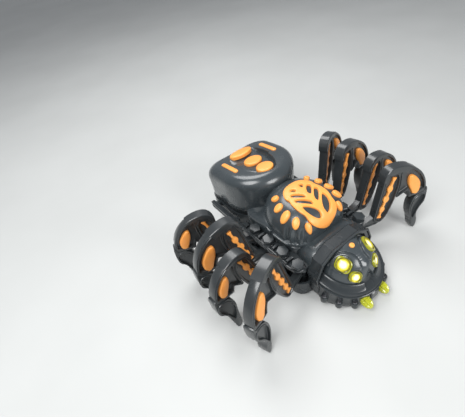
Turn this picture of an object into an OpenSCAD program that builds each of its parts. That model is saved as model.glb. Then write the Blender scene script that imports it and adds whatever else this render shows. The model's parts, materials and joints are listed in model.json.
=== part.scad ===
// Eight-legged walking spider robot toy.
// The head faces -Y, +X is the robot's left side, +Z is up and the feet stand on Z = 0.

/* [Legs] */
// Thickness of a leg plate
leg_t = 7.4; // [6:0.2:7.8]
// Distance between neighbouring hips along the body
hip_pitch = 16; // [16:0.5:18]
// Distance of the hips from the middle plane
hip_x = 31; // [31:0.5:33]
// Fan angle of the first legs, towards the head
splay_1 = 19; // [17:1:22]
// Fan angle of the second legs, towards the head
splay_2 = 4.5; // [3:0.5:6]
// Backward lean of the knees
lean = 5.3; // [0:0.1:6]
// Knee height of the tall legs
tall_knee_z = 66; // [60:1:70]
// Knee height of the wide legs
wide_knee_z = 60.5; // [56:0.5:64]

/* [Drive] */
// Throw of the crank pins
throw = 2.5; // [1.5:0.1:2.5]
// Height of the crank shafts
crank_z = 11; // [11:0.1:11.5]
// Gear module
gear_m = 0.6; // [0.6:0.01:0.6]
// Radial clearance of a running fit
run_gap = 0.05; // [0.02:0.01:0.1]

/* [Body] */
// Half width of the rear pod
pod_w = 31.5; // [30:0.5:33]
// Rearmost point of the pod
pod_y1 = 81.5; // [80:0.5:84]
// Half width of the dome
dome_w = 27.4; // [26:0.2:28]
// Radius of the face ball
face_r = 21.5; // [20:0.5:22]
// Thickness of the plastic shells
wall = 1.8; // [1.4:0.1:2.2]

/* [Hidden] */
$fn = 64;
eps = 0.01;

// ---- hips and legs ----
hip_z = 18;
hip_y = [for (i = [0:3]) -35 + hip_pitch * i];
splay = [-splay_1, -splay_2, splay_2 + 1, splay_1];
knee_u = [27.4, 36.2];
knee_w = [tall_knee_z, wide_knee_z];
heel_w = 36;
tip_u = 52;
lens_top = [[30, 60.5], [38, 57]];
lens_end = [[17.5, 20], [22.5, 17]];
lens_half = 6.4;
arm_w = 5.4;
arm_z0 = 17.8;
arm_z1 = 22.6;

// ---- drive ----
crank_y = [-19, 13];
shaft_r = 2;
pin_r = 1.8;
ring_r = 4;
wall_in = 22.5;
wall_out = 24.5;
web1 = [25, 26.4];
bar_a = [26.6, 29];
web2 = [29.2, 30.6];
bar_b = [30.8, 33.2];
cap = [33.4, 34.4];
axle_r = 1;
motor_l = 20;
teeth_crank = 22;
teeth_big2 = 20;
teeth_small2 = 10;
teeth_big1 = 22;
teeth_small1 = 8;
teeth_pinion = 8;
gap_c2 = gear_m * (teeth_crank + teeth_small2) / 2;
gap_21 = gear_m * (teeth_big2 + teeth_small1) / 2;
gap_1p = gear_m * (teeth_big1 + teeth_pinion) / 2;
train_angle = 75;
g2 = [crank_y[0] + gap_c2 * cos(train_angle), crank_z + gap_c2 * sin(train_angle)];
g1 = [g2[0] + gap_21 * cos(train_angle), g2[1] + gap_21 * sin(train_angle)];
gp = [g1[0] + gap_1p, g1[1]];
plane_p = [1, 4];
plane_1 = [5, 8];
plane_2 = [9, 12];

// ---- body ----
tray_z = 2;
floor_t = 1.4;
tray_top = 14.6;
tray_x = 36.6;
tray_y = [-43, 22.4];
deck_z = [25.6, 28];
deck_x = 37;
pod_base_z = [14.6, 29];
pod_top_z = [64.3, 52.5];
pod_y0 = 15;
face_c = [0, -50, 20];
jaw_z = [2.6, 14.8];

// ================= outlines =================
function arc(c, r, a0, a1, n = 24) = [for (i = [0:n]) let (a = a0 + (a1 - a0) * i / n) [c[0] + r * cos(a), c[1] + r * sin(a)]];
function oval(c, rx, ry, a0, a1, n = 24) = [for (i = [0:n]) let (a = a0 + (a1 - a0) * i / n) [c[0] + rx * cos(a), c[1] + ry * sin(a)]];

// Plan of the rear pod: rounded rear corners, half-oval front.
function pod_plan(g = 0, r = 15) = concat(
  arc([pod_w - r, pod_y1 - r], r + g, 0, 90, 10),
  arc([r - pod_w, pod_y1 - r], r + g, 90, 180, 10),
  oval([0, pod_y0 + 33], pod_w + g, 33 + g, 180, 360, 32));

// Plan of the dome: half-oval rear, nearly straight front edge.
function dome_plan(g = 0) = concat(
  oval([0, -7], dome_w + g, 29 + g, 0, 180, 32),
  oval([0, -7], dome_w + g, 58, 180, 203, 6),
  oval([0, -26], 23, 6 + g, 200, 340, 16),
  oval([0, -7], dome_w + g, 58, 337, 360, 6));

function lens_pt(k, t, s, half) = let (
    a = lens_top[k], b = lens_end[k], d = (b - a) / norm(b - a),
    w = half * pow(sin(180 * t), 0.6))
  [a[0] + (b[0] - a[0]) * t - s * d[1] * w, a[1] + (b[1] - a[1]) * t + s * d[0] * w];
function lens_outline(k, half = lens_half) = concat(
  [for (i = [0:18]) lens_pt(k, i / 18, 1, half)],
  [for (i = [17:-1:1]) lens_pt(k, i / 18, -1, half)]);

// Leg profile: k is 0 for the tall legs 1 and 3, and 1 for the wide legs 2 and 4.
function shin_r(k) = knee_w[k] - heel_w;
function shin_c(k) = [knee_u[k] + 0.5, heel_w];
function shin_outline(k) = concat(
  arc(shin_c(k), shin_r(k), 108, 2, 24),
  arc(shin_c(k) - [2.2, 2.4], shin_r(k) - 12, 4, 100, 20));
function foot_outline(k) = let (x = shin_c(k)[0] + shin_r(k), t = tip_u) concat(
  [[x + 1, heel_w - 0.4], [x + 1.2, heel_w - 4]],
  [for (i = [0:8]) let (f = i / 8) [x - 0.5 + (t + 2.4 - x) * f * f, heel_w - 6 - (heel_w - 9) * f]],
  [[t + 1.4, -1], [t - 2.6, -1]],
  [for (i = [0:8]) let (f = 1 - i / 8) [x - 15 + (t - 3.8 - x + 15) * pow(f, 0.8), 31 - 26 * f]],
  [[x - 15.8, heel_w - 2]]);
function inlay_outline(k) = let (c = shin_c(k), r = shin_r(k)) concat(
  arc(c + [r * 0.52, r * 0.42], 5, 60, 190, 10),
  arc(c + [r * 0.66, r * 0.2], 4, 230, 300, 6),
  arc(c + [r * 0.7, r * 0.3], 4.2, -20, 30, 5));

// ================= placing =================
module yz(x0, x1) translate([x0, 0, 0]) rotate([90, 0, 90]) linear_extrude(height = x1 - x0) children();
module xz(y0, y1) translate([0, y1, 0]) rotate([90, 0, 0]) linear_extrude(height = y1 - y0) children();
module xy(z0, z1) translate([0, 0, z0]) linear_extrude(height = z1 - z0) children();
module side(s) { if (s > 0) children(); else mirror([1, 0, 0]) children(); }

// Leg plane of hip i: first axis outward, second axis up, plate centred on the hip.
module leg_plane(i, t = leg_t) {
  translate([hip_x, hip_y[i], hip_z])
    rotate([0, 0, splay[i]])
      rotate([90 - lean, 0, 0])
        translate([0, -hip_z, -t / 2])
          linear_extrude(height = t) children();
}

// ================= gears =================
press_angle = 25;
backlash = 0.1;
function invol(a) = tan(a) * 180 / PI - a;
function flank(n, m, r) = let (rp = m * n / 2, rb = rp * cos(press_angle), rr = max(r, rb))
  90 / n - backlash * 90 / (PI * rp) + invol(press_angle) - invol(acos(rb / rr));
function gear_points(n, m) = let (
    rp = m * n / 2, rb = rp * cos(press_angle), ro = rp + 0.8 * m, rr = rp - 1.15 * m,
    radii = [rr, max(rb, rr + 0.05), (max(rb, rr) + rp) / 2, rp, (rp + ro) / 2, ro])
  [for (k = [0:n - 1], s = [-1, 1], j = [0:5])
    let (i = s < 0 ? j : 5 - j, a = 360 * k / n + s * flank(n, m, radii[i]) * (i == 0 ? 0.8 : 1))
    [radii[i] * cos(a), radii[i] * sin(a)]];
module gear(n, turn, plane, c, bore) {
  yz(plane[0], plane[1])
    translate(c)
      difference() {
        rotate(turn) polygon(gear_points(n, gear_m));
        if (bore > 0) circle(r = bore);
      }
}
module rod(x0, x1, c, r) translate([x0, c[0], c[1]]) rotate([0, 90, 0]) cylinder(h = x1 - x0, r = r);

// ================= chassis =================
module chassis_tray() color("#34383b") {
  difference() {
    union() {
      xy(tray_z, tray_z + floor_t) tray_plan(0);
      xy(tray_z, tray_top) difference() { tray_plan(0); tray_plan(-1.6); }
      for (s = [-1, 1]) side(s)
        yz(wall_in, wall_out)
          polygon([[-39.9, tray_z + eps], [22, tray_z + eps], [22, tray_top], [17.5, deck_z[0]], [-39.9, deck_z[0]]]);
    }
    for (y = crank_y) rod(-26, 26, [y, crank_z], shaft_r + run_gap);
  }
}
module tray_plan(g) {
  r = 9;
  polygon(concat(
    arc([tray_x - r, tray_y[0] + r], r + g, 270, 360, 8),
    arc([tray_x - 3, tray_y[1] - 3], 3 + g, 0, 90, 4),
    arc([3 - tray_x, tray_y[1] - 3], 3 + g, 90, 180, 4),
    arc([r - tray_x, tray_y[0] + r], r + g, 180, 270, 8)));
}
module side_deck() {
  xy(deck_z[0], deck_z[1])
    polygon([[wall_in, -39.7], [28.2, -39.7], [30, -41], [36, -36], [deck_x, -30], [deck_x, 26], [31, 26], [26, 20], [wall_in, 17]]);
  xy(22, deck_z[1] - 0.4) polygon([[33, 24], [deck_x, 24], [deck_x - 1, 70], [33, 70]]);
  for (y = [34, 62]) translate([pod_w, y, 22.5]) cube([2, 4, 4.5]);
  for (y = hip_y) translate([31.5, y, deck_z[1] - eps]) {
    cylinder(h = 1.2, r = 3.2);
    rotate([0, 0, 15]) cylinder(h = 4.6, r = 4.2, $fn = 6);
  }
}
module deck_left() color("#3a3f42") side_deck();
module deck_right() color("#3a3f42") mirror([1, 0, 0]) side_deck();

// ================= drive =================
frame_l = [-1.4, 0.2];
frame_r = [12.8, 14.4];
module gearbox_frame() color("#4a5054") difference() {
  union() {
    for (p = [frame_l, frame_r])
      yz(p[0], p[1])
        polygon([[-26, tray_z + floor_t], [2, tray_z + floor_t], [4, 10], [4, 32], [1, 35], [-24, 35], [-26, 32]]);
    for (c = [[-23.5, 32], [-2, 8]]) rod(frame_l[0], frame_r[1], c, 1.6);
  }
  rod(-3, 16, [crank_y[0], crank_z], shaft_r + 0.3);
  rod(-3, 2, gp, 3.2);
  for (c = [g1, g2]) rod(-3, 16, c, axle_r);
}
module gear_axles() color("silver") for (c = [g1, g2]) rod(frame_l[0], frame_r[1], c, axle_r);
module motor_can() color("#9a9da0") difference() {
  union() {
    yz(-motor_l - 1.4, -1.4) translate(gp) intersection() { circle(r = 10); square([15, 20], center = true); }
    rod(-1.5, 0.2, gp, 3.1);
    rod(-motor_l - 2.4, -motor_l - 1.3, gp, 3);
  }
  rod(-16, 1, gp, 0.8 + run_gap);
}
module motor_pinion() color("#d8b45a") {
  rod(-15, 4.6, gp, 0.8);
  gear(teeth_pinion, 180 + 180 / teeth_pinion, plane_p, gp, 0);
}
// Each gear is turned so that a tooth meets a gap on the line between two centres.
turn_small2 = train_angle + 180 + 180 / teeth_small2;
turn_big2 = train_angle;
turn_small1 = train_angle + 180 + 180 / teeth_small1;
turn_big1 = 0;
module second_gear() color("#d9d4c4") {
  gear(teeth_big2, turn_big2, plane_1, g2, axle_r + run_gap);
  gear(teeth_small2, turn_small2, [plane_1[1] - eps, plane_2[1]], g2, axle_r + run_gap);
}
module first_gear() color("#d9d4c4") {
  gear(teeth_big1, turn_big1, plane_p, g1, axle_r + run_gap);
  gear(teeth_small1, turn_small1, [plane_p[1] - eps, plane_1[1]], g1, axle_r + run_gap);
}
module link(x, c0, c1, r) {
  rod(x[0], x[1], c0, r);
  rod(x[0], x[1], c1, r);
  yz(x[0], x[1]) polygon([[c0[0], c0[1] - r], [c1[0], c1[1] - r], [c1[0], c1[1] + r], [c0[0], c0[1] + r]]);
}
// One side of a crank: the inner bar's pin leads towards the head, the outer bar's pin is opposite.
module crank_side(y) {
  axis = [y, crank_z];
  pin_a = [y - throw, crank_z];
  pin_b = [y + throw, crank_z];
  rod(0, web1[0] + eps, axis, shaft_r);
  link(web1, pin_a, axis, 2.4);
  rod(web1[1] - eps, web2[0] + eps, pin_a, pin_r);
  link(web2, pin_a, pin_b, 2.4);
  rod(web2[1] - eps, cap[0] + eps, pin_b, pin_r);
  rod(cap[0], cap[1], pin_b, 2.8);
}
module crank_front() color("#b9bcc0") {
  for (s = [-1, 1]) side(s) crank_side(crank_y[0]);
  gear(teeth_crank, train_angle, plane_2, [crank_y[0], crank_z], 0);
}
module crank_rear() color("#b9bcc0") for (s = [-1, 1]) side(s) crank_side(crank_y[1]);

// Walking bar: rings run on the crank pins, a tab rises to each of its two legs.
module walking_bar(x, shift, legs, y1) {
  difference() {
    union() {
      for (y = crank_y) rod(x[0], x[1], [y + shift, crank_z], ring_r);
      yz(x[0], x[1]) polygon([[hip_y[legs[0]] - arm_w / 2, 8.2], [y1, 8.2], [y1, 12], [hip_y[legs[0]] - arm_w / 2, 12]]);
      for (i = legs)
        yz(x[0], x[1])
          translate([hip_y[i] - arm_w / 2, 8.2]) square([arm_w, arm_z1 - 8.2]);
    }
    for (y = crank_y) rod(x[0] - 1, x[1] + 1, [y + shift, crank_z], pin_r + run_gap);
  }
}
module bar_inner_left() color("#2c3033") walking_bar(bar_a, -throw, [0, 2], crank_y[1] - throw);
module bar_inner_right() color("#2c3033") mirror([1, 0, 0]) walking_bar(bar_a, -throw, [0, 2], crank_y[1] - throw);
module bar_outer_left() color("#2c3033") walking_bar(bar_b, throw, [1, 3], crank_y[1] + throw);
module bar_outer_right() color("#2c3033") mirror([1, 0, 0]) walking_bar(bar_b, throw, [1, 3], crank_y[1] + throw);

// ================= legs =================
// The arm runs from its walking bar out to the foot of the lens-shaped frame.
function arm_outline(k) = let (e = lens_end[k]) [
  [-9, arm_z0], [e[0] + 1, arm_z0], [e[0] + 3.4, arm_z0 + 3], [e[0] + 2, arm_z1 + 6],
  [e[0] - 4, arm_z1 + 8], [e[0] - 7, arm_z1 + 3], [e[0] - 12, arm_z1], [-9, arm_z1]];
function lens_slot(k) = [for (i = [0:35]) let (
    a = lens_top[k], b = lens_end[k], d = (b - a) / norm(b - a), c = (a + b) / 2, h = norm(b - a) / 2 - 4.5)
  c + d * h * cos(10 * i) + [-d[1], d[0]] * (lens_half - 3.6) * sin(10 * i)];
module femur(i) {
  k = i % 2;
  bar_x = k == 0 ? bar_a[1] : bar_b[1];
  difference() {
    union() {
      leg_plane(i) polygon(lens_outline(k));
      leg_plane(i, arm_w) polygon(arm_outline(k));
    }
    leg_plane(i, leg_t + 2) polygon(shin_outline(k));
    leg_plane(i, leg_t + 2) polygon(lens_slot(k));
    translate([bar_x - 60, -90, -1]) cube([60, 180, 90]);
  }
}
module shin(i) leg_plane(i) difference() {
  polygon(shin_outline(i % 2));
  polygon(inlay_outline(i % 2));
}
module foot(i) difference() {
  leg_plane(i) polygon(foot_outline(i % 2));
  leg_plane(i, leg_t + 2) polygon(shin_outline(i % 2));
  translate([0, -90, -10]) cube([120, 180, 10]);
}
module inlays(legs) for (i = legs) {
  leg_plane(i, leg_t - 1.6) polygon(inlay_outline(i % 2));
  leg_plane(i, leg_t - 4) difference() { polygon(lens_slot(i % 2)); polygon(shin_outline(i % 2)); }
}

module femur_l1() color("#2f3336") femur(0);
module femur_l2() color("#2f3336") femur(1);
module femur_l3() color("#2f3336") femur(2);
module femur_l4() color("#2f3336") femur(3);
module femur_r1() color("#2f3336") side(-1) femur(0);
module femur_r2() color("#2f3336") side(-1) femur(1);
module femur_r3() color("#2f3336") side(-1) femur(2);
module femur_r4() color("#2f3336") side(-1) femur(3);
module shin_l1() color("#33373a") shin(0);
module shin_l2() color("#33373a") shin(1);
module shin_l3() color("#33373a") shin(2);
module shin_l4() color("#33373a") shin(3);
module shin_r1() color("#33373a") side(-1) shin(0);
module shin_r2() color("#33373a") side(-1) shin(1);
module shin_r3() color("#33373a") side(-1) shin(2);
module shin_r4() color("#33373a") side(-1) shin(3);
module feet_l_odd() color("#3d4245") for (i = [0, 2]) foot(i);
module feet_l_even() color("#3d4245") for (i = [1, 3]) foot(i);
module feet_r_odd() color("#3d4245") side(-1) for (i = [0, 2]) foot(i);
module feet_r_even() color("#3d4245") side(-1) for (i = [1, 3]) foot(i);
module inlays_l_odd() color("orange") inlays([0, 2]);
module inlays_l_even() color("orange") inlays([1, 3]);
module inlays_r_odd() color("orange") side(-1) inlays([0, 2]);
module inlays_r_even() color("orange") side(-1) inlays([1, 3]);

// ================= rear pod =================
pod_split = pod_base_z[1];
spot_y = [65.5, 48.6, 32.5];
module pod_side(g) polygon([[pod_y0 - 5, 0], [pod_y1 + 5, 0], [pod_y1 + 5, pod_top_z[1] - 3 + g],
  [pod_y1 - 6, pod_top_z[1] + 2.5 + g], [60, 61.5 + g], [44, 63.8 + g], [30, pod_top_z[0] + g], [18, 62.5 + g], [pod_y0 - 5, 59 + g]]);
module pod_solid(g) intersection() {
  xy(pod_split + (g < 0 ? -1 : 0), 90) polygon(pod_plan(g));
  yz(-40, 40) pod_side(g);
}
module pod_shell() color("#3a3f42") difference() {
  pod_solid(0);
  pod_solid(-wall);
  for (i = [0:2]) translate([0, spot_y[i], 40]) spot_hole(i, 40);
  for (s = [-1, 1]) translate([s * 17.7 - 1.8, 43, 40]) cube([3.6, 21, 30]);
}
spot_rx = [10.4, 7.7, 7.2];
spot_ry = [6.2, 6.6, 6.8];
module spot_hole(i, h) linear_extrude(height = h) polygon(oval([0, 0], spot_rx[i], spot_ry[i], 0, 352.5, 47));
module pod_spots() color("orange") intersection() {
  union() {
    for (i = [0:2]) translate([0, spot_y[i], 40]) spot_hole(i, 40);
    for (s = [-1, 1]) translate([s * 17.7 - 1.8, 43, 40]) cube([3.6, 21, 30]);
  }
  yz(-40, 40) difference() { pod_side(0.6); pod_side(-wall); }
}
door_x = 20;
door_y = [26, 76];
door_z = [12.8, 14.45];
module pod_base() color("#34383b") difference() {
  union() {
    xy(pod_base_z[0], pod_base_z[1]) polygon(pod_plan(0));
    for (s = [-1, 1]) door_rail(s);
  }
  difference() {
    xy(pod_base_z[0] + 2, pod_base_z[1] + 1) polygon(pod_plan(-wall));
    for (x = [-6.5, 5.3], y = [25, 72]) translate([x, y, pod_base_z[0] + 1]) cube([1.2, 3, 11]);
  }
  translate([-17.5, 27, 0]) cube([35, 46, pod_base_z[0] + 3]);
  translate([-4.2, pod_y1 - 4, 19.6]) cube([8.4, 8, 4.8]);
}
module door_rail(s) {
  x0 = s > 0 ? door_x + 0.15 : -door_x - 2.35;
  x1 = s > 0 ? door_x - 1.5 : -door_x - 2.35;
  translate([x0, door_y[0], door_z[0] - 1.6]) cube([2.2, 51, pod_base_z[0] - door_z[0] + 1.6 + eps]);
  translate([x1, door_y[0], door_z[0] - 1.6]) cube([3.85, 51, 1.45]);
}
module battery_door() color("#3a3f42") {
  translate([-door_x, door_y[0], door_z[0]]) cube([2 * door_x, door_y[1] - door_y[0], door_z[1] - door_z[0]]);
  for (j = [0:2]) translate([-8, 66 + 2.6 * j, door_z[0] - 0.8]) cube([16, 1.2, 1]);
}
cell_r = 5.2;
cell_y = [28.4, 72.4];
cell_x = [-12, 0, 12];
cell_z = 24.4;
module batteries() color("#c9a13a") for (i = [0:2])
  translate([cell_x[i], i == 1 ? cell_y[1] : cell_y[0], cell_z]) rotate([i == 1 ? 90 : -90, 0, 0]) {
    cylinder(h = cell_y[1] - cell_y[0] - 1, r = cell_r);
    cylinder(h = cell_y[1] - cell_y[0], r = 1.9);
  }
module battery_contacts() color("silver") {
  for (x = cell_x) translate([x - 4, cell_y[0] - 0.8, cell_z - 4]) cube([8, 0.8, 8]);
  for (x = cell_x) translate([x - 4, cell_y[1], cell_z - 4]) cube([8, 0.8, 8]);
}
module switch_body() color("#202224") translate([-7, 75.2, pod_base_z[0] + 2]) cube([14, 4.4, 9]);
module power_switch() color("#202224") translate([-4, pod_y1 - 1.6, 20]) cube([4, 3, 4]);

// ================= dome =================
dome_split = 39;
dome_h = 21;
dome_tilt = 8;
// Quarter-round arch with fuller shoulders than an oval.
function arch(rx, ry, n = 40) = [for (i = [0:n]) let (a = 180 * i / n, c = cos(a), s = sin(a))
  [rx * sign(c) * pow(abs(c), 0.84), ry * pow(s, 0.84)]];
module dome_side(g) translate([-5.6, dome_split - 1]) rotate(dome_tilt) {
  polygon(arch(27.2 + g, dome_h + 1 + g));
  translate([-25.5 - g, -20]) square([60, 20 + eps]);
}
module dome_solid(g) intersection() {
  xy(dome_split + (g < 0 ? -1 : 0), 80) polygon(dome_plan(g));
  yz(-40, 40) dome_side(g);
  xz(-60, 60) translate([0, dome_split - 4]) polygon(arch(dome_w + 1.6 + g, dome_h + 4.4 + g));
}
module pod_clear() xy(10, 90) polygon(pod_plan(0.15));
module dome_shell() color("#3a3f42") difference() {
  dome_solid(0);
  dome_solid(-wall);
  pod_clear();
}
// Leaf panel: round rear lobe, notched waist, wide front lobe, and four cut-outs on each side.
leaf_cut = [
  [[2, 0], [6, 0], [7.6, -3.4], [2, -5.4]],
  [[2, -8], [9.6, -6], [9, -9.6], [2, -12.2]],
  [[2, -15], [9.4, -12.6], [8.8, -16], [2, -19]],
  [[2, -22], [8.6, -19.4], [9, -24.4], [5, -28.6], [2, -28]]];
module leaf_panel() color("orange") intersection() {
  difference() { dome_solid(1.2); dome_solid(0); }
  xy(40, 80) difference() {
    polygon(leaf_plan());
    for (s = [-1, 1], c = leaf_cut) scale([s, 1]) polygon(c);
  }
}
function leaf_plan() = concat(
  oval([0, -5], 13, 8.5, 0, 180, 20),
  [[-13.6, -10], [-11.6, -12]],
  oval([0, -21.5], 13.4, 9.6, 160, 380, 28),
  [[11.6, -12], [13.6, -10]]);
dome_spot = [[15.3, 4.1], [19, -4.1], [20.5, -12.9], [19, -21.6], [15.3, -28]];
module dome_spots() color("orange") intersection() {
  difference() { dome_solid(1); dome_solid(0); }
  xy(40, 80) for (s = [-1, 1], p = dome_spot) translate([s * p[0], p[1]]) polygon(oval([0, 0], 2.4, 3.2, 0, 345, 23));
}
// The thorax base carries the dome and closes the front down to the floor.
cowl_y = [-39.9, -38.2];
module thorax_base() color("#33373a") difference() {
  union() {
    xy(deck_z[1], dome_split) difference() { polygon(dome_plan(-0.6)); polygon(dome_plan(-0.6 - wall)); }
    xz(cowl_y[0], -29) difference() {
      polygon([[-25.5, deck_z[1]], [25.5, deck_z[1]], [24, 36], [17, 39.8], [-17, 39.8], [-24, 36]]);
      polygon([[-23.5, deck_z[1] - 1], [23.5, deck_z[1] - 1], [22.3, 35], [16, 38], [-16, 38], [-22.3, 35]]);
    }
    xz(cowl_y[0], cowl_y[1]) polygon([[-22.4, 3.5], [22.4, 3.5], [22.4, deck_z[1] + 1], [-22.4, deck_z[1] + 1]]);
    xz(cowl_y[0], cowl_y[1]) polygon([[-23.6, deck_z[1] + eps], [23.6, deck_z[1] + eps], [22.3, 35.2], [16, 38.2], [-16, 38.2], [-22.3, 35.2]]);
  }
  dome_solid(0.1);
  xy(deck_z[1] - 1, dome_split + 5) polygon(dome_plan(-0.6 - wall));
  pod_clear();
}

// ================= head =================
hood_y = [-50, -40];
module hood_plan(g) polygon([[-26.7 + g, 15], [-28 + g, 24], [-23 + g, 35.5], [-12.5, 41.5 - g], [12.5, 41.5 - g],
  [23 - g, 35.5], [28 - g, 24], [26.7 - g, 15]]);
module head_hood() color("#34383b") difference() {
  xz(hood_y[0], hood_y[1]) hood_plan(0);
  xz(hood_y[0] - 1, hood_y[1] - 1.6) difference() { hood_plan(2); translate([-40, 0]) square([80, 16.6]); }
}
module head_face() color("#3f4447") difference() {
  intersection() {
    translate(face_c) sphere(r = face_r);
    translate([-30, hood_y[0] - 40, jaw_z[1] + 0.2]) cube([60, 39.95, 60]);
  }
  intersection() {
    translate(face_c) sphere(r = face_r - wall);
    translate([-30, hood_y[0] - 40, jaw_z[1]]) cube([60, 60, 60]);
  }
  for (p = eye_pos) eye_rod(p, 0.05);
  translate(face_c) rotate([12, 0, 0]) cylinder(h = 40, r = 1.9);
}
// Eyes sit on rays from the middle of the face ball: [side, turn, lift, radius].
eye_pos = [[1, 56, 45, 4.6], [-1, 56, 45, 4.6], [1, 30, 21, 3.6], [-1, 30, 21, 3.6]];
module eye_rod(p, g) translate(face_c) rotate([0, 0, p[0] * p[1] - 90]) rotate([0, 90 - p[2], 0])
  cylinder(h = face_r + 4, r = p[3] + g, $fn = 6);
module eye_lenses() color([0.9, 0.95, 0.2, 0.8]) intersection() {
  union() { for (p = eye_pos) eye_rod(p, 0); }
  difference() { translate(face_c) sphere(r = face_r + 0.9); translate(face_c) sphere(r = face_r - wall); }
  translate([-30, hood_y[0] - 40, jaw_z[1] + 0.2]) cube([60, 40 - 0.2, 60]);
}
module brow_stud() color("orange") translate(face_c) rotate([12, 0, 0]) difference() {
  cylinder(h = face_r + 0.8, r = 1.85);
  cylinder(h = face_r - wall, r = 3);
}
function jaw_plan(g = 0) = concat(oval([0, -50], 26.6 + g, 27.2 + g, 180, 360, 30), [[26.6 + g, -43.2 - min(g, 0)], [-26.6 - g, -43.2 - min(g, 0)]]);
boss_pos = [for (s = [-1, 1], a = [12, 34, 56]) [s * 27.4 * cos(a), -50 - 28 * sin(a)]];
module head_jaw() color("#34383b") difference() {
  union() {
    xy(jaw_z[0], jaw_z[1]) polygon(jaw_plan());
    for (p = boss_pos) translate([p[0], p[1], 5]) cylinder(h = 5, r = 2.2);
  }
  xy(jaw_z[0] + wall, jaw_z[1] + 1) polygon(jaw_plan(-wall));
  for (s = [-1, 1]) fang_body(s, 0.05);
  for (p = boss_pos) translate([p[0], p[1], 10]) cylinder(h = 10, r = 1.55);
}
fang_x = 8.6;
module fang_body(s, g) translate([s * fang_x, 0, 0])
  translate([0, -71.6, 9.5]) rotate([90 + 17, 0, 0]) cylinder(h = 7, r = 3.4 + g);
module fangs() color([0.85, 0.9, 0.2, 0.85]) for (s = [-1, 1]) {
  fang_body(s, 0);
  translate([s * fang_x, 0, 0]) translate([0, -71.6, 9.5]) rotate([90 + 17, 0, 0]) translate([0, 0, 6.5])
    cylinder(h = 5.2, r1 = 3.8, r2 = 0.8, $fn = 16);
}
module light_board() color("green") {
  xz(-46, -44.6) polygon([[-15, 16.9], [15, 16.9], [15, 32], [-15, 32]]);
  xz(-51, -46) translate([0, face_c[2]]) circle(r = 2.8);
  for (p = eye_pos) translate(face_c) rotate([0, 0, p[0] * p[1] - 90]) rotate([0, 90 - p[2], 0])
    cylinder(h = 16, r = 1.5);
}
module screws() color("silver") {
  for (p = boss_pos) translate([p[0], p[1], 10]) cylinder(h = 0.7, r = 1.5);
  for (s = [-1, 1], y = [-34, 8]) translate([s * 29, y, 1.2]) cylinder(h = 0.8, r = 2.2);
}

chassis_tray();
deck_left();
deck_right();
gearbox_frame();
gear_axles();
motor_can();
motor_pinion();
first_gear();
second_gear();
crank_front();
crank_rear();
bar_inner_left();
bar_outer_left();
bar_inner_right();
bar_outer_right();
femur_l1();
femur_l2();
femur_l3();
femur_l4();
femur_r1();
femur_r2();
femur_r3();
femur_r4();
shin_l1();
shin_l2();
shin_l3();
shin_l4();
shin_r1();
shin_r2();
shin_r3();
shin_r4();
feet_l_odd();
feet_l_even();
feet_r_odd();
feet_r_even();
inlays_l_odd();
inlays_l_even();
inlays_r_odd();
inlays_r_even();
pod_base();
pod_shell();
pod_spots();
battery_door();
batteries();
battery_contacts();
switch_body();
power_switch();
dome_shell();
leaf_panel();
dome_spots();
thorax_base();
head_hood();
head_face();
head_jaw();
eye_lenses();
brow_stud();
fangs();
light_board();
screws();
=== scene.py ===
"""Walking spider robot: the looks of the toy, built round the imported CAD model."""
import json
import math
import bmesh
import bpy
from mathutils import Matrix, Vector


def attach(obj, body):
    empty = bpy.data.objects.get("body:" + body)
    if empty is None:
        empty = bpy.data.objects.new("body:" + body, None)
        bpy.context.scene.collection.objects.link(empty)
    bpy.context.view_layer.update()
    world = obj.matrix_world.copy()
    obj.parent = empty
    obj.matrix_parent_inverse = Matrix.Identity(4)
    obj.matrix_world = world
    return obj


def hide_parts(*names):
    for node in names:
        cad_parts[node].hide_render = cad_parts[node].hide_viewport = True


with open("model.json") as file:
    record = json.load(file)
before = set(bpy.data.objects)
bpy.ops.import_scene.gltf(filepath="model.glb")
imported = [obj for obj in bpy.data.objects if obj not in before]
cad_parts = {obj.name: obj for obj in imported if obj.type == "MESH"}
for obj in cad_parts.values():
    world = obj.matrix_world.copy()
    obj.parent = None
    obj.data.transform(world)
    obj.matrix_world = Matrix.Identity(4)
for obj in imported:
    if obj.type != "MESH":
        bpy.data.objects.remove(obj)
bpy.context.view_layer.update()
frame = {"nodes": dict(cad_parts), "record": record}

# X points to the robot's left, Y to its rear and Z up. Sizes are in millimetres until a mesh is made.
MM = 0.001
MERGE = 0.004  # points closer than this become one

# ---- legs, with the profile of the CAD ----
# A leg is drawn flat, as (outward, up, across). Legs 1 and 3 are of one kind and legs 2 and 4 of the other,
# so most sizes come in pairs.
LEG_T = 7.4  # thickness
LEAN = 5.3  # tilt of a leg from upright, in degrees
HIP_X = 31.0
HIP_Z = 18.0
HIP_Y = [-35.0, -19.0, -3.0, 13.0]
SPLAY = [-19.0, -4.5, 5.5, 19.0]  # turn of each leg from straight outward, in degrees
KNEE_U = [27.4, 36.2]
KNEE_W = [66.0, 60.5]
KNEE_IN = 0.35  # the thigh's knee lies this far inside the lower leg's
HEEL_W = 36.0
TIP_U = 52.0
LENS_TOP = [(30.0, 60.5), (38.0, 57.0)]  # upper end of the thigh's lens
LENS_END = [(17.5, 20.0), (22.5, 17.0)]  # lower end, at the arm
LENS_OUT = [6.6, 7.4]  # bulge of the lens on its outer side
# The lower leg's inner edge is an arc too, with its centre shifted and its radius smaller by these.
SHIN_SHIFT = Vector((1.4, 2.4))
SHIN_BROAD = 13.4
ARM_W = 17.8  # height of the arm's lower edge

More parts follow.
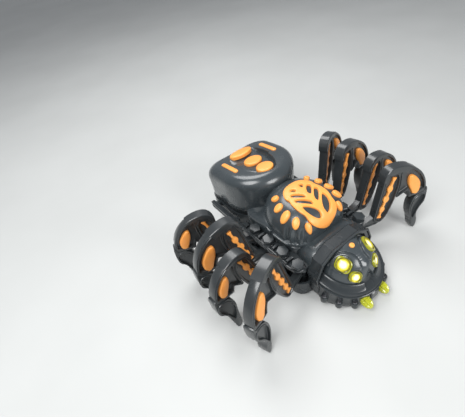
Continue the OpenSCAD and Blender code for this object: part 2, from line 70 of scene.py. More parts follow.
# ---- rear pod ----
POD_W = 31.5  # half width
POD_C = Vector((0, 48))
POD_FRONT = 33.0  # length of the oval front, from the middle
POD_Y1 = 81.5  # rear end
POD_CORNER = 15.0  # radius of the rear corners seen from above
POD_ROOF = 64.2
POD_SPLIT = 29.0  # height of the joint with the base
POD_FILLET = 8.8
POCKET_W = 15.0  # half width of the roof's recess
POCKET_FRONT = 23.6
POCKET_REAR = 24.0
POCKET_DEPTH = 3.2
POCKET_FADE = (57, 67)  # the recess runs out to the rear between these two y
# Floor and wall of the recess: (share of its radius, share of its depth).
POCKET_WALL = [(0.02, 0.9), (0.35, 0.9), (0.65, 0.9), (0.82, 0.92), (0.88, 1.06), (0.945, 1.2), (0.96, 1.1),
               (0.972, 0.6), (0.985, 0.14), (1.0, 0.0)]
POD_SPOTS = [(65.5, 10.4, 6.2), (48.6, 7.7, 6.6), (33.2, 7.2, 6.4)]  # y, half width, half length
SPOT_SINK = 2.9
BAR_X = 19.3
BAR_Y = (44.8, 62.2)
BAR_R = 1.9

# ---- dome ----
DOME_C = Vector((0, -7))
DOME_W = 27.4  # half width
DOME_REAR = 29.0  # length behind the middle
DOME_FRONT = 25.0  # and in front of it
DOME_SQUARE = 3.6  # how square the front is, with 2 for an oval
DOME_CROWN = 2.6  # the same for the upright section
DOME_Z = 39.0
DOME_H = 21.0
FLUTE_TURNS = (-26.0, -37.0, -48.0)  # the flutes of a side, in degrees from straight sideways to the rear
FLUTE_HALF = 4.4
FLUTE_DEPTH = 1.7
FLUTE_TOP = 52.0
# Spots on one side of the dome: x, y, half length down the slope, half width.
DOTS = [(15.4, 3.2, 2.9, 2.2), (19.4, -4.8, 3.7, 2.5), (21.0, -13.6, 4.7, 2.8), (19.6, -22.2, 4.0, 2.5),
        (14.8, -28.6, 3.7, 2.2)]
# Edge of the leaf's left half, from the rear to the front.
LEAF_HALF = [(0, 4.4), (5, 4.0), (9, 2.0), (11.6, -1.2), (12.9, -5.0), (12.3, -8.4), (13.4, -11.0),
             (14.0, -16.0), (13.6, -20.6), (12.5, -23.6), (12.9, -26.8), (11.6, -29.4), (8.6, -31.0),
             (4.4, -31.7), (0, -31.9)]
# Cut-outs on one side of the leaf.
LEAF_CUTS = [
    [(2.4, -0.6), (6.6, -1.8), (2.6, -6.4)],
    [(7.4, -4.4), (9.8, -7.2), (3.4, -13.8), (1.9, -13.8), (1.9, -10.6)],
    [(9.4, -10.0), (10.9, -13.2), (3.4, -20.8), (2.0, -20.6), (2.0, -17.6)],
    [(9.7, -17.2), (10.4, -21.0), (9.7, -24.2), (7.8, -27.2), (4.8, -29.0), (2.4, -28.9), (1.9, -25.0)],
]

# ---- thorax and deck ----
FAIRING_FOOT = 28.0
FAIRING_TOP = 39.3
FAIRING_RISE = 5.3  # height of its curved part
FAIRING_IN = 26.8  # radius of its inner edge round the dome's middle
FAIRING_NECK = 8.0  # and the half width that the inner edge never goes below
FAIRING_OUT = 26.9
# Arches of the cowl from rear to front: y, half width, top, foot.
ARCHES = [(-26.0, 24.0, 37.6, 27.0), (-31.0, 24.6, 38.6, 20.0), (-33.5, 25.2, 39.2, 15.0),
          (-36.0, 25.6, 39.6, 14.2), (-39.0, 25.7, 39.4, 14.0), (-40.6, 25.6, 39.0, 14.0),
          (-41.0, 25.0, 38.4, 14.2), (-41.0, 21.0, 34.0, 15.0)]
ARCH_MIDDLE = 27.0  # height where an arch starts to curve
DECK_TOP = 27.6
KNOB_X = 31.5
# Ribs and blocks on the deck: x from, x to, y from, y to, top.
RIBS = [(35.2, 36.4, -28, 22, 29.4), (26.6, 27.6, -8, 20, 29.6), (28.6, 30.2, 17.5, 25.4, 30.4),
        (31.2, 34.4, 20.5, 25.6, 29.8), (28.4, 34.8, 4.0, 6.4, 30.2), (29.2, 34.0, -11.8, -9.8, 30.0),
        (28.6, 34.6, -27.8, -25.6, 30.2), (23.2, 27.4, -38.6, -33.0, 28.8), (29.0, 31.0, -1.0, 1.0, 29.4)]

# ---- head: the face is a ball, and its directions are a turn from straight ahead and a lift, in degrees ----
FACE_C = Vector((0, -50, 20))
FACE_R = 21.5
FACE_TURN = 96.0
FACE_LIFT = (-16.0, 89.5)
FACE_COLUMNS = 240
FACE_ROWS = 200
STUD_LIFT = 78
BROW = (52, 38)  # middle of the brow's arc
BROW_REACH = 29.5  # radius of the brow's arc, in degrees
EYES = [(56, 45, 4.6), (30, 21, 3.6)]  # turn, lift and radius of one side's eyes
EYE_LEAN = 14
JAW_W = 26.6  # half width
JAW_LONG = 27.2
JAW_BACK = -43.2
JAW_NECK = 26.4  # half width of the part inside the hood
BOSS_TURNS = (12, 34, 56)
FANG_BASE = (8.6, -71.6, 9.5)
FANG_DIP = 17
FANG_MIDDLE = (0, -80, 8)  # where the fangs' tones start

# ---- walls of the hollow pieces ----
POD_WALL = 1.4
DOME_WALL = 1.2
COWL_WALL = 0.8
FACE_WALL = 1.2
JAW_WALL = 0.9

# ---- stage, in metres ----
FLOOR_HALF = 3.0
# Lights: name, place, point aimed at, diameter, power.
LIGHTS = [
    ("key", (-0.35, -0.10, 0.62), (0, 0, 0.03), 0.45, 4.4),
    ("front", (0.10, -0.62, 0.34), (0, -0.02, 0.03), 0.35, 3.0),
    ("top", (0.10, 0.35, 0.60), (0, 0, 0.03), 0.40, 2.5),
]
SKY = (0.92, 0.95, 1.0, 1)
SKY_STRENGTH = 0.36
CAMERA_PLACE = Vector((-0.1187, -0.1370, 0.2134))
CAMERA_HEADING = 0.998  # direction of view from the X axis, in radians
CAMERA_DIP = 0.812  # how far it points below level
CAMERA_ROLL = -0.166
CAMERA_LENS = 25.2
CAMERA_SHIFT = (-0.07, 0.04)


# ================= materials =================
def new_material(name):
    """A material with only a shader in it."""
    mat = bpy.data.materials.new(name)
    mat.use_nodes = True
    tree = mat.node_tree
    tree.nodes.clear()
    out = tree.nodes.new("ShaderNodeOutputMaterial")
    shader = tree.nodes.new("ShaderNodeBsdfPrincipled")
    tree.links.new(shader.outputs[0], out.inputs[0])
    return mat, tree, shader


def noise(tree, scale, detail=3.0):
    """Soft random clouds that stay with the object."""
    coords = tree.nodes.new("ShaderNodeTexCoord")
    tex = tree.nodes.new("ShaderNodeTexNoise")
    tex.inputs["Scale"].default_value = scale
    tex.inputs["Detail"].default_value = detail
    tree.links.new(coords.outputs["Object"], tex.inputs["Vector"])
    return tex.outputs["Fac"]


def ramp(tree, fac, low, high, start=0.35, end=0.65):
    """Turns a factor into a colour between low and high."""
    node = tree.nodes.new("ShaderNodeValToRGB")
    node.color_ramp.elements[0].position = start
    node.color_ramp.elements[1].position = end
    node.color_ramp.elements[0].color = (*low, 1)
    node.color_ramp.elements[1].color = (*high, 1)
    tree.links.new(fac, node.inputs[0])
    return node.outputs[0]


def grey(value):
    return (value, value, value)


def texture(tree, shader, grain, detail, strength, depth):
    """Fine unevenness of the surface, as deep as depth in metres."""
    height = tree.nodes.new("ShaderNodeBump")
    height.inputs["Strength"].default_value = strength
    height.inputs["Distance"].default_value = depth
    tree.links.new(noise(tree, grain, detail), height.inputs["Height"])
    tree.links.new(height.outputs[0], shader.inputs["Normal"])


def plastic(name, low, high, rough, bump, coat=0.0, grain=900.0, metallic=0.0):
    """Moulded plastic: two close tones, fine surface texture, faint handling marks in the gloss."""
    mat, tree, shader = new_material(name)
    tree.links.new(ramp(tree, noise(tree, 60.0), low, high), shader.inputs["Base Color"])
    marks = noise(tree, 90.0, 2.0)
    tree.links.new(ramp(tree, marks, grey(rough[0]), grey(rough[1])), shader.inputs["Roughness"])
    texture(tree, shader, grain, 4.0, bump, 0.0002)
    shader.inputs["Coat Weight"].default_value = coat
    shader.inputs["Coat Roughness"].default_value = 0.12
    shader.inputs["Metallic"].default_value = metallic
    return mat


def metal(name, low, high, rough):
    """Built up like plastic, with a finer grain."""
    return plastic(name, low, high, rough, 0.02, grain=1500.0, metallic=1.0)


def painted_glow_lens(name, tones, glow, reach):
    """Tinted clear plastic with a painted glow: its tones, from the middle out to reach in metres, are also
    given out as light, though no lamp is behind it.
    """
    mat, tree, shader = new_material(name)
    coords = tree.nodes.new("ShaderNodeTexCoord")
    length = tree.nodes.new("ShaderNodeVectorMath")
    length.operation = "LENGTH"
    tree.links.new(coords.outputs["Object"], length.inputs[0])
    span = tree.nodes.new("ShaderNodeMapRange")
    span.inputs["From Max"].default_value = reach
    tree.links.new(length.outputs["Value"], span.inputs["Value"])
    tone = ramp(tree, span.outputs[0], tones[0][1], tones[-1][1], tones[0][0], tones[-1][0])
    for at, colour in tones[1:-1]:
        tone.node.color_ramp.elements.new(at).color = (*colour, 1)
    tree.links.new(tone, shader.inputs["Base Color"])
    # Painted glow: the lens's own tones are its emission, so it shines with no lamp behind it.
    tree.links.new(tone, shader.inputs["Emission Color"])
    shader.inputs["Emission Strength"].default_value = glow
    shader.inputs["Roughness"].default_value = 0.12
    shader.inputs["Coat Weight"].default_value = 0.6
    texture(tree, shader, 500.0, 2.0, 0.15, 0.0003)
    return mat


# Painted glow of the eye lenses, from a painted white middle outward: (share of the reach, colour).
PAINTED_GLOW_TONES = [
    (0.16, (1.0, 1.0, 0.82)),
    (0.52, (0.70, 0.63, 0.05)),
    (0.70, (0.32, 0.27, 0.01)),
    (0.78, (0.05, 0.04, 0.005)),
    (0.86, (0.24, 0.24, 0.012)),
]
FANG_TONES = [(0.30, (0.30, 0.31, 0.02)), (0.60, (0.42, 0.44, 0.02)), (1.0, (0.34, 0.36, 0.02))]

MAT = {
    "shell": plastic("shell_anthracite", (0.034, 0.043, 0.048), (0.040, 0.049, 0.054), (0.24, 0.29), 0.01,
                     coat=0.4),
    "leg": plastic("leg_anthracite", (0.025, 0.029, 0.031), (0.029, 0.033, 0.035), (0.27, 0.31), 0.01,
                   coat=0.3),
    "dark": plastic("chassis_dark", (0.025, 0.030, 0.033), (0.030, 0.035, 0.038), (0.22, 0.28), 0.02),
    "orange": plastic("orange_plastic", (0.86, 0.33, 0.065), (0.90, 0.37, 0.08), (0.34, 0.42), 0.03),
    "gear": plastic("gear_nylon", (0.62, 0.58, 0.47), (0.70, 0.66, 0.55), (0.4, 0.55), 0.05),
    "battery": plastic("battery_wrap", (0.62, 0.42, 0.05), (0.70, 0.48, 0.08), (0.25, 0.35), 0.02),
    "board": plastic("circuit_board", (0.02, 0.16, 0.06), (0.03, 0.22, 0.08), (0.3, 0.45), 0.05),
    "steel": metal("steel", (0.50, 0.50, 0.52), (0.62, 0.62, 0.64), (0.18, 0.32)),
    "screw": metal("blackened_steel", (0.12, 0.12, 0.13), (0.16, 0.16, 0.17), (0.35, 0.42)),
    "brass": metal("brass", (0.70, 0.50, 0.20), (0.80, 0.58, 0.26), (0.2, 0.34)),
    # The eye and fang lenses shine with a painted glow, not from a lamp.
    "big_eye": painted_glow_lens("big_eye_lens", PAINTED_GLOW_TONES, 0.28, 0.0060),
    "small_eye": painted_glow_lens("small_eye_lens", PAINTED_GLOW_TONES, 0.28, 0.0048),
    "fang": painted_glow_lens("fang_clear", FANG_TONES, 0.05, 0.0160),
}
SLOT_LOOK = {
    "shell_plastic": "shell", "leg_plastic": "leg", "orange_plastic": "orange", "lens_plastic": "fang",
    "dark_plastic": "dark", "gear_plastic": "gear", "steel": "steel", "brass": "brass",
    "battery_wrap": "battery", "circuit_board": "board",
}


# ================= meshes =================
def keep(name, bm, look, body, stands_for, angle=32.0, centre=None):
    """Makes a piece of a mesh drawn in millimetres, and puts it on its body in place of its CAD nodes."""
    bmesh.ops.remove_doubles(bm, verts=bm.verts, dist=MERGE)
    bmesh.ops.dissolve_degenerate(bm, edges=bm.edges, dist=MERGE / 2)
    bmesh.ops.recalc_face_normals(bm, faces=bm.faces)
    middle = Vector(centre) if centre else Vector()
    bmesh.ops.translate(bm, vec=-middle, verts=bm.verts)
    bmesh.ops.scale(bm, vec=(MM, MM, MM), verts=bm.verts)
    mesh = bpy.data.meshes.new(name)
    bm.to_mesh(mesh)
    bm.free()
    mesh.shade_smooth()
    mesh.set_sharp_from_angle(angle=math.radians(angle))
    obj = bpy.data.objects.new(name, mesh)
    obj.location = middle * MM
    bpy.context.scene.collection.objects.link(obj)
    mesh.materials.append(MAT[look])
    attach(obj, body)
    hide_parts(*stands_for)
    return obj


def thicken(obj, depth):
    """Gives an open skin a real wall, on its inner side."""
    wall = obj.modifiers.new("wall", "SOLIDIFY")
    wall.thickness = depth * MM
    wall.offset = -1


def closed_edges(bm, row):
    """The edges of a ring of points."""
    return [bm.edges.get((a, b)) for a, b in zip(row, row[1:] + row[:1])]


def loft(bm, rings, first_cap=False, last_cap=False):
    """Quads between closed rings of the same number of points."""
    rows = [[bm.verts.new(p) for p in ring] for ring in rings]
    count = len(rows[0])
    for low, high in zip(rows, rows[1:]):
        for j in range(count):
            n = (j + 1) % count
            bm.faces.new((low[j], low[n], high[n], high[j]))
    for wanted, row in ((first_cap, rows[0]), (last_cap, rows[-1])):
        if wanted:
            bmesh.ops.triangle_fill(bm, use_beauty=True, edges=closed_edges(bm, row))
    return rows


def sheet(bm, rows):
    """Quads between open rows of the same number of points."""
    rows = [[bm.verts.new(p) for p in row] for row in rows]
    for a, b in zip(rows, rows[1:]):
        for j in range(len(a) - 1):
            bm.faces.new((a[j], a[j + 1], b[j + 1], b[j]))


def oval(c, rx, ry, a0, a1, n):
    """Points of part of an oval, from angle a0 to a1 in degrees."""
    return [(c[0] + rx * math.cos(math.radians(a0 + (a1 - a0) * i / n)),
             c[1] + ry * math.sin(math.radians(a0 + (a1 - a0) * i / n))) for i in range(n + 1)]


def arc(c, r, a0, a1, n):
    return oval(c, r, r, a0, a1, n)


def ring_angles(n):
    return [2 * math.pi * (j + 0.5) / n for j in range(n)]


def oval_reach(c, s, wide, long, power=2.0):
    """Distance from an oval's middle to its edge in the direction (c, s). A higher power squares the oval."""
    return (abs(c / wide) ** power + abs(s / long) ** power) ** (-1 / power)


def smooth_step(x, lo, hi):
    t = min(1.0, max(0.0, (x - lo) / (hi - lo)))
    return t * t * (3 - 2 * t)


def hump(x, half):
    """A round hump: 1 where x is 0, and 0 from half outward on both sides."""
    return max(0.0, 1 - (x / half) ** 2)


def signed_power(x, power):
    return math.copysign(abs(x) ** power, x)


def area(loop):
    """Area inside an outline, negative if it runs clockwise."""
    return sum(a[0] * b[1] - b[0] * a[1] for a, b in zip(loop, loop[1:] + loop[:1])) / 2


def inset(loop, d):
    """The outline moved inward by d, corner by corner. At a sharp corner it moves a little less."""
    turn = 1 if area(loop) > 0 else -1
    result = []
    for i, p in enumerate(loop):
        a = Vector(p) - Vector(loop[i - 1])
        b = Vector(loop[(i + 1) % len(loop)]) - Vector(p)
        na = Vector((-a.y, a.x)).normalized()
        nb = Vector((-b.y, b.x)).normalized()
        m = na + nb
        m = m / max(m.length_squared / 2, 0.7)
        result.append((p[0] + turn * d * m.x, p[1] + turn * d * m.y))
    return result


def rounded(loop, times=2):
    """The outline with its corners cut again and again until they are round."""
    for _ in range(times):
        sides = zip(loop, loop[1:] + loop[:1])
        loop = [(a[0] + (b[0] - a[0]) * f, a[1] + (b[1] - a[1]) * f) for a, b in sides for f in (0.25, 0.75)]
    return loop


def resample(loop, n):
    """The closed outline as n evenly spaced points, from its first point."""
    pts = [Vector(p) for p in loop]
    ends = pts[1:] + pts[:1]
    total = sum((b - a).length for a, b in zip(pts, ends))
    result = []
    walked = 0.0
    for a, b in zip(pts, ends):
        step = (b - a).length
        while step > 0 and len(result) < n and total * len(result) / n < walked + step:
            p = a.lerp(b, (total * len(result) / n - walked) / step)
            result.append((p.x, p.y))
        walked += step
    return result


def plate(bm, edge, hollow, lip, floor, place, n=96):
    """A plate with a hollow on both faces that drops to floor inside a raised bead as high as lip."""
    edge, hollow = resample(edge, n), resample(hollow, n)
    steps = [(edge, 0, 0), (edge, 0, lip - 0.75), (edge, 0.15, lip - 0.45), (edge, 0.35, lip - 0.4),
             (hollow, -0.9, lip - 0.4), (hollow, -0.7, lip), (hollow, -0.15, lip), (hollow, 0.02, lip - 0.4),
             (hollow, 0.15, floor + 0.25), (hollow, 0.5, floor)]
    front = [[place(p[0], p[1], h) for p in inset(loop, d)] for loop, d, h in steps]
    back = [[place(p[0], p[1], -h) for p in inset(loop, d)] for loop, d, h in reversed(steps[1:])]
    loft(bm, back + front, True, True)


def dish(bm, outline, steps, place):
    """A plate whose faces step in and out: outline(d) is its edge moved in by d, steps are (d, height)."""
    back = [[place(p[0], p[1], -h) for p in outline(d)] for d, h in reversed(steps)]
    front = [[place(p[0], p[1], h) for p in outline(d)] for d, h in steps]
    loft(bm, back + front, True, True)


def block(bm, lo, hi, edge=0.3):
    """A box with chamfered edges."""
    lo, hi = Vector(lo), Vector(hi)
    e = min(edge, min(hi - lo) * 0.45)
    rings = []
    for z, g in ((lo.z, e), (lo.z + e, 0), (hi.z - e, 0), (hi.z, e)):
        x0, x1, y0, y1 = lo.x + g, hi.x - g, lo.y + g, hi.y - g
        c = e if g == 0 else e * 0.6
        rings.append([(x0 + c, y0, z), (x1 - c, y0, z), (x1, y0 + c, z), (x1, y1 - c, z),
                      (x1 - c, y1, z), (x0 + c, y1, z), (x0, y1 - c, z), (x0, y0 + c, z)])
    loft(bm, rings, True, True)


def turned(bm, base, axis, profile, sides=28, spin=0.0, flute=0.0):
    """A lathed shape: profile is (radius, height along the axis).

    With flute, every other corner is cut in by that share of the radius.
    """
    z = Vector(axis).normalized()
    x = z.orthogonal().normalized()
    if abs(z.z) > 0.9:
        x = (Vector((1, 0, 0)) - z * z.x).normalized()
    y = z.cross(x)
    rings = []
    for r, h in profile:
        ring = []
        for j in range(sides):
            t = math.radians(spin) + 2 * math.pi * j / sides
            reach = r * (1 - flute * (j % 2))
            ring.append(Vector(base) + z * h + (x * math.cos(t) + y * math.sin(t)) * reach)
        rings.append(ring)
    loft(bm, rings, True, True)


def flip(bm):
    """Mirrors everything drawn so far to the other side of the robot."""
    for v in bm.verts:
        v.co.x = -v.co.x


# ================= legs =================
def leg_place(i, side):
    """Maps a leg's own (outward, up, across) to the robot's frame."""
    m = (Matrix.Translation((HIP_X, HIP_Y[i], HIP_Z)) @ Matrix.Rotation(math.radians(SPLAY[i]), 4, "Z")
         @ Matrix.Rotation(math.radians(90 - LEAN), 4, "X") @ Matrix.Translation((0, -HIP_Z, 0)))

    def place(u, w, h):
        p = m @ Vector((u, w, h))
        return (side * p.x, p.y, p.z)
    return place


def shin_c(k):
    """Middle of the arc that runs from the knee to the heel."""
    return Vector((KNEE_U[k] + 0.5, HEEL_W))


def shin_r(k):
    return KNEE_W[k] - HEEL_W


def heel(k):
    return shin_c(k).x + shin_r(k)


def lens_axis(k):
    """Upper end of the thigh's lens, its direction, the direction across it, and its length."""
    a, b = Vector(LENS_TOP[k]), Vector(LENS_END[k])
    axis = (b - a).normalized()
    return a, axis, Vector((-axis.y, axis.x)), (b - a).length


def lens_side(k, d=0.0, lo=0.0, hi=1.0, n=24):
    """The bulging outer side of the thigh's lens, moved in by d, from share lo to share hi of its length."""
    a, axis, across, length = lens_axis(k)
    points = []
    for i in range(n + 1):
        t = lo + (hi - lo) * i / n
        along = d + (length - 2 * d) * (0.5 - 0.5 * math.cos(math.pi * t))
        p = a + axis * along + across * (LENS_OUT[k] - d) * math.sin(math.pi * t) ** 0.85
        points.append((p.x, p.y))
    return points


def knee_turn(k, out=0.0):
    """The tight bend from the knee's arc to the straight inner side of the thigh, moved outward by out."""
    c = shin_c(k)
    x, y = c.x, c.y + shin_r(k) - KNEE_IN + out
    return [(x, y), (x - 2.6, y - 0.3), (x - 5.2, y - 1.4), (x - 7.2 - out / 3, y - 3.6),
            (x - 8.3 - 2 * out / 3, y - 6.6), (x - 8.8 - out, y - 10.4)]


def blade(k):
    """Edge of the thigh: over the knee, down the bulging outer side, and straight up the inner side."""
    e = LENS_END[k]
    return (arc(shin_c(k), shin_r(k) - KNEE_IN, 88, 80, 3) + lens_side(k, 0, 0.15, 1.0)
            + [(e[0] - 3.2, e[1] + 0.4), (e[0] - 4.6, e[1] + 3.4)] + knee_turn(k)[::-1])


def thigh_hollow(k):
    """Recess of the thigh, inside a narrow frame: arched at the knee and pointed at the arm."""
    top, e = LENS_TOP[k], LENS_END[k]
    x, y = knee_turn(k)[0]
    return ([(top[0], top[1] - 0.6)] + lens_side(k, 1.5, 0.12, 1.0)
            + [(e[0] - 2.6, e[1] + 3.0), (x - 6.8, y - 10.8), (x - 6.0, y - 8.0), (x - 4.6, y - 6.0),
               (x - 2.6, y - 5.2), (x - 0.6, y - 4.9)])


def shin(k):
    """Edge of the lower leg: the round knee and heel outside, and the thigh's lens inside."""
    c, r = shin_c(k), shin_r(k)
    return (arc(c, r, 82, -3, 30) + arc(c - SHIN_SHIFT, r - SHIN_BROAD, 4, 34, 12)
            + lens_side(k, -0.2, 0.52, 0.06)[2:])


def shin_hollow(k):
    c, r = shin_c(k), shin_r(k)
    return (arc(c, r - 1.9, 74, 6, 26) + arc(c - SHIN_SHIFT, r - SHIN_BROAD + 1.4, 10, 36, 10)
            + lens_side(k, -1.4, 0.50, 0.14)[2:])


def knee_cap(k):
    """Slightly raised cap over the knee, reaching a little way down the thigh's inner side."""
    c, r = shin_c(k), shin_r(k)
    deep = r - (Vector(LENS_TOP[k]) - c).length - 0.6
    turn = knee_turn(k, 0.8)
    end = turn[-1]
    return (turn[::-1] + arc(c, r + 0.45, 88, 64, 14) + arc(c, r - deep, 66, 90, 9)
            + [(end[0] + 4.6, end[1] + 5.0), (end[0] + 3.0, end[1] + 2.4), (end[0] + 2.4, end[1] - 0.3)])


def foot(k):
    """Edge of the clip-on foot: a collar round the heel, a notch behind it, and a claw."""
    x, t = heel(k), TIP_U
    return rounded([(x - 0.4, 39.2), (x + 1.0, 39.0), (x + 1.4, 36), (x + 1.5, 30), (x + 1.2, 26.4),
                    (x + 0.4, 23.8), (x - 2.2, 21.8), (x - 4.0, 18.5), (x - 4.9, 13.5), (t + 2.9, 7),
                    (t + 1.9, 0.8), (t + 0.6, 0.15), (t - 1.0, 0.6), (t - 2.6, 3.6), (t - 2.9, 9),
                    (x - 12.0, 16.5), (x - 12.6, 22), (x - 12.4, 27), (x - 10.6, 31.5), (x - 7.5, 34.4),
                    (x - 4, 35.4), (x - 1.0, 35.4)], 1)


def cup(k):
    """Recess of the foot."""
    x = heel(k)
    return rounded([(x - 0.2, 32.4), (x + 0.1, 28), (x - 1.6, 24.2), (x - 4.4, 20.8), (x - 6.4, 15.4),
                    (x - 8.0, 10.5), (x - 9.6, 14.5), (x - 10.7, 21), (x - 10.4, 27), (x - 7.6, 31.6),
                    (x - 3.2, 33.4)])


def inlay(k, d):
    """Drop-shaped orange piece of the lower leg, drawn in shares of the knee-to-heel radius."""
    c, r = shin_c(k), shin_r(k)
    shape = [(0.46, 0.63), (0.60, 0.59), (0.78, 0.37), (0.82, 0.20), (0.79, 0.03), (0.72, -0.02), (0.61, 0.0),
             (0.54, 0.17), (0.45, 0.34), (0.42, 0.52)]
    return inset(rounded([(c.x + r * u, c.y + r * w) for u, w in shape]), d)


def beads(k, d):
    """Beaded strip in the thigh's slot, wide at both ends."""
    top, axis, across, length = lens_axis(k)
    start = top + axis * (3.2 + d) - across * 0.9
    run = length - 6.8 - 2 * d

    def half(t):
        w = 0.95
        for at, size in ((0.0, 0.7), (0.27, 1.4), (0.52, 1.7), (0.78, 1.4), (1.0, 1.2)):
            w += size * hump(t - at, 0.075)
        return max(0.25, w - d)
    steps = [j / 60 for j in range(61)]
    up = [start + axis * run * t + across * half(t) for t in steps]
    down = [start + axis * run * t - across * half(t) for t in reversed(steps)]
    return [(p.x, p.y) for p in up + down]


def arm(k, d):
    """Arm from the walking bar to the foot of the lens."""
    x = LENS_END[k][0]
    reach = 6.0 if k else 8.0
    return inset([(-1.0, ARM_W), (x - 2, ARM_W), (x + 1.6, 19.4), (x + 1.4, 23.0), (x - 3, 25.6),
                  (x - reach, 24.0), (x - 11, 22.6), (-1.0, 22.6)], d)


def legs():
    """Thigh, lower leg, foot and orange trim of the eight legs."""
    half = LEG_T / 2
    arm_steps = [(0, 0), (0, 2.3), (0.4, 2.7), (1.2, 2.7), (1.5, 2.0)]
    cap_steps = [(0, 0), (0, half - 0.1), (0.25, half + 0.3), (0.6, half + 0.4)]
    inlay_steps = [(0, 0), (0, half - 1.0), (0.2, half - 0.5), (0.6, half - 0.15), (1.3, half + 0.05)]
    bead_steps = [(0, 0), (0, 2.6), (0.15, 2.95), (0.45, 3.15)]
    for side, letter, word in ((1, "l", "left"), (-1, "r", "right")):
        bodies = [f"legs_inner_{word}", f"legs_outer_{word}"]
        for i in range(4):
            k = i % 2
            place = leg_place(i, side)
            bm = bmesh.new()
            plate(bm, blade(k), thigh_hollow(k), half + 0.1, 1.7, place)
            dish(bm, lambda d: arm(k, d), arm_steps, place)
            keep(f"thigh_{letter}{i + 1}", bm, "leg", bodies[k], [f"femur_{letter}{i + 1}"])
            bm = bmesh.new()
            plate(bm, shin(k), shin_hollow(k), half, 1.4, place)
            dish(bm, lambda d: inset(knee_cap(k), d), cap_steps, place)
            keep(f"lower_leg_{letter}{i + 1}", bm, "leg", bodies[k], [f"shin_{letter}{i + 1}"])
        for k, kind in enumerate(("odd", "even")):
            feet, inlays = bmesh.new(), bmesh.new()
            for i in (k, k + 2):
                place = leg_place(i, side)
                plate(feet, foot(k), cup(k), half + 0.4, 1.9, place)
                dish(inlays, lambda d: inlay(k, d), inlay_steps, place)
                dish(inlays, lambda d: beads(k, d), bead_steps, place)
            keep(f"claws_{letter}_{kind}", feet, "leg", bodies[k], [f"feet_{letter}_{kind}"])
            keep(f"leg_trim_{letter}_{kind}", inlays, "orange", bodies[k],
                 [f"inlays_{letter}_{kind}"])


# ================= rear pod =================
def pod_radius(t):
    """Distance from the pod's middle to its edge in direction t: oval in front, a rounded box behind."""
    c, s = math.cos(t), math.sin(t)
    if s < 0:
        return oval_reach(c, s, POD_W, POD_FRONT)
    rear = POD_Y1 - POD_C.y
    reach = min(POD_W / abs(c) if abs(c) > 1e-9 else 1e9, rear / s if s > 1e-9 else 1e9)
    corner_x, corner_y = POD_W - POD_CORNER, rear - POD_CORNER
    if abs(c) * reach > corner_x and s * reach > corner_y:
        b = abs(c) * corner_x + s * corner_y
        reach = b + math.sqrt(b * b - (corner_x ** 2 + corner_y ** 2 - POD_CORNER ** 2))
    return reach


def pod_top(y):
    """Height of the pod's roof along the middle: it falls away to the rear, and a little to the front."""
    t = (y - 18) / (POD_Y1 - 18)
    return POD_ROOF - 1.2 * t - 8.2 * max(0.0, t) ** 2.4 - 1.2 * max(0.0, (26 - y) / 12) ** 2


def pocket_radius(t):
    """Edge of the roof's recess: round in front with a small step on one side, squarer behind."""
    c, s = math.cos(t), math.sin(t)
    if s < 0:
        step = 1.6 * smooth_step(c, 0.30, 0.34) * smooth_step(-s, 0.2, 0.24)
        return oval_reach(c, s, POCKET_W - step, POCKET_FRONT)
    return oval_reach(c, s, POCKET_W, POCKET_REAR, 3.0)


def pod_roof():
    angles = ring_angles(144)

    def ring(radius, height):
        points = []
        for t in angles:
            x, y = radius(t) * math.cos(t), POD_C.y + radius(t) * math.sin(t)
            points.append((x, y, height(y)))
        return points

    def pocket_floor(y, deep):
        return pod_top(y) - POCKET_DEPTH * deep * (1 - smooth_step(y, *POCKET_FADE))

    rings = [ring(lambda t: pocket_radius(t) * f, lambda y: pocket_floor(y, deep)) for f, deep in POCKET_WALL]
    for f in (0.35, 0.7, 1.0):
        rings.append(ring(lambda t: pocket_radius(t) * (1 - f) + (pod_radius(t) - POD_FILLET) * f, pod_top))
    for a in (math.pi / 2 * q / 10 for q in range(1, 11)):
        inward = POD_FILLET * (1 - math.sin(a))
        drop = POD_FILLET * 0.9 * (1 - math.cos(a))
        rings.append(ring(lambda t: pod_radius(t) - inward, lambda y: pod_top(y) - drop))
    edge = rings[-1]
    for f in (0.12, 0.4, 0.7, 1.0):
        draft = 1 - 0.03 * f
        rings.append([(x * draft, POD_C.y + (y - POD_C.y) * draft, z + (POD_SPLIT - z) * f)
                      for x, y, z in edge])
    bm = bmesh.new()
    loft(bm, rings, True, False)
    shell = keep("pod_roof", bm, "shell", "chassis", ["pod_shell"], 40)
    thicken(shell, POD_WALL)


def pod_trim():
    """The three ovals in the recess and the bent bar on each side of it."""
    bm = bmesh.new()
    for y, rx, ry in POD_SPOTS:
        rings = []
        sunk = SPOT_SINK * (1 - smooth_step(y, *POCKET_FADE))
        for g, h in ((0.0, -1.0), (0.0, 1.5), (-0.3, 2.0), (-0.9, 2.3), (-2.2, 2.45), (-4.4, 2.5)):
            ring = []
            for t in ring_angles(56):
                px, py = (rx + g) * math.cos(t), y + (ry + g) * math.sin(t)
                ring.append((px, py, pod_top(py) - sunk + h))
            rings.append(ring)
        loft(bm, rings, True, True)
    middle = sum(BAR_Y) / 2
    front, rear = ((0, y) for y in BAR_Y)
    for s in (-1, 1):
        rings = []
        for g, h in ((0.0, -1.6), (0.0, 0.35), (-0.2, 0.75), (-0.7, 0.95)):
            ring = []
            for x, y in arc(rear, BAR_R + g, 0, 180, 10) + arc(front, BAR_R + g, 180, 360, 10):
                bend = s * (BAR_X + 0.0022 * (y - middle) ** 2)
                ring.append((bend + x, y, pod_top(y) + h))
            rings.append(ring)
        loft(bm, rings, True, True)
    keep("pod_trim", bm, "orange", "chassis", ["pod_spots"])


